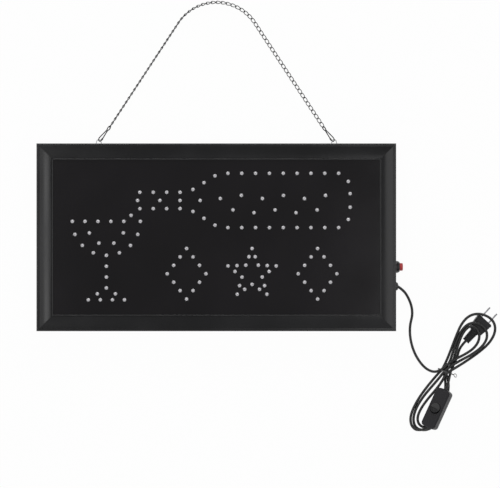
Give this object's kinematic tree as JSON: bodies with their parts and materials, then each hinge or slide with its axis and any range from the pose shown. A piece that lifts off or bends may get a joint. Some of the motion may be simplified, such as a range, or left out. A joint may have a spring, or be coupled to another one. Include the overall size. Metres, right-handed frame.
{
  "type": "lighted window sign",
  "caption": "Framed black sign with LED outlines of a glass, bottle and motifs, a hanging chain on wire bails, a push button, and a cord with inline switch and plug.",
  "frame": {"origin": "centre of the back face, on the surface that the sign lies on", "axes": "+X towards the sign's right-hand edge, where the cord leaves, +Y towards its top edge and chain, +Z out of its face"},
  "size_m": [0.6201, 0.5828, 0.025],
  "materials": {
    "frame": "polished",
    "face": "satin",
    "back": "fine grain",
    "inner": "plain",
    "screws": "zinc plated",
    "led": "clear lens",
    "board": "solder mask",
    "capacitor": "dipped",
    "can": "sleeved",
    "dark_parts": "moulded",
    "terminal": "moulded",
    "resistor": "coated",
    "fitting": "moulded",
    "button": "moulded",
    "bail": "plated",
    "chain": "blackened plate",
    "cord": "matte jacket",
    "tie": "coated wire",
    "switch": "moulded",
    "pin": "drawn",
    "contact": "stamped",
    "plug": "soft moulded",
    "blade": "nickel plated"
  },
  "bodies": {
    "sign": {"back_panel": "back", "back_panel_screws": "screws", "board_screws": "screws", "board_standoffs": "inner", "button_bezel": "fitting", "button_case": "fitting", "control_board": "board", "cord_gland": "fitting", "cord_hank_lower": "cord", "cord_hank_upper": "cord", "cord_plug_lead": "cord", "corner_keys": "inner", "dropper_resistors": "resistor", "film_capacitor": "capacitor", "flasher_chip": "dark_parts", "frame_rail_bottom": "frame", "frame_rail_left": "frame", "frame_rail_right": "frame", "frame_rail_top": "frame", "front_panel": "face", "leds_bottle": "led", "leds_glass": "led", "leds_motifs": "led", "mains_cord": "cord", "plug_blades": "blade", "plug_body": "plug", "plug_strain_relief": "plug", "rectifier_diodes": "dark_parts", "rocker_pin": "pin", "smoothing_capacitor": "can", "switch_base": "switch", "switch_contacts": "contact", "switch_cover": "switch", "switch_screws": "screws", "terminal_block": "terminal", "twist_tie": "tie"},
    "bails": {"hanging_bail_left": "bail", "hanging_bail_right": "bail"},
    "clips": {"snap_clip_left": "chain", "snap_clip_right": "chain"},
    "chain_sides": {"chain_left": "chain", "chain_right": "chain"},
    "chain_crown": {"chain_crown": "chain"},
    "button": {"button_cap": "button"},
    "rocker": {"switch_rocker": "switch"}
  },
  "joints": [
    {"name": "bail_swing", "type": "hinge", "parent": "sign", "child": "bails", "pos_m": [0, 0.1236, 0.0125], "axis": [1, 0, 0], "range_deg": [0, 65]},
    {"name": "clip_swing", "type": "hinge", "parent": "bails", "child": "clips", "pos_m": [0, 0.1315, 0.00794], "axis": [1, 0, 0], "range_deg": [0, 60]},
    {"name": "chain_swing", "type": "hinge", "parent": "clips", "child": "chain_sides", "pos_m": [0, 0.15001, 0.0021], "axis": [1, 0, 0], "range_deg": [0, 20]},
    {"name": "chain_fold", "type": "hinge", "parent": "chain_sides", "child": "chain_crown", "pos_m": [0, 0.28447, 0.0021], "axis": [1, 0, 0], "range_deg": [0, 25]},
    {"name": "button_press", "type": "slide", "parent": "sign", "child": "button", "axis": [-1, 0, 0], "range_m": [0, 0.002], "stiffness_N_per_m": 300, "springref_m": -0.001},
    {"name": "rocker_tilt", "type": "hinge", "parent": "sign", "child": "rocker", "pos_m": [0.29519, -0.23019, 0.0146], "axis": [0.8041, -0.3647, 0.4695], "range_deg": [0, 16]}
  ]
}
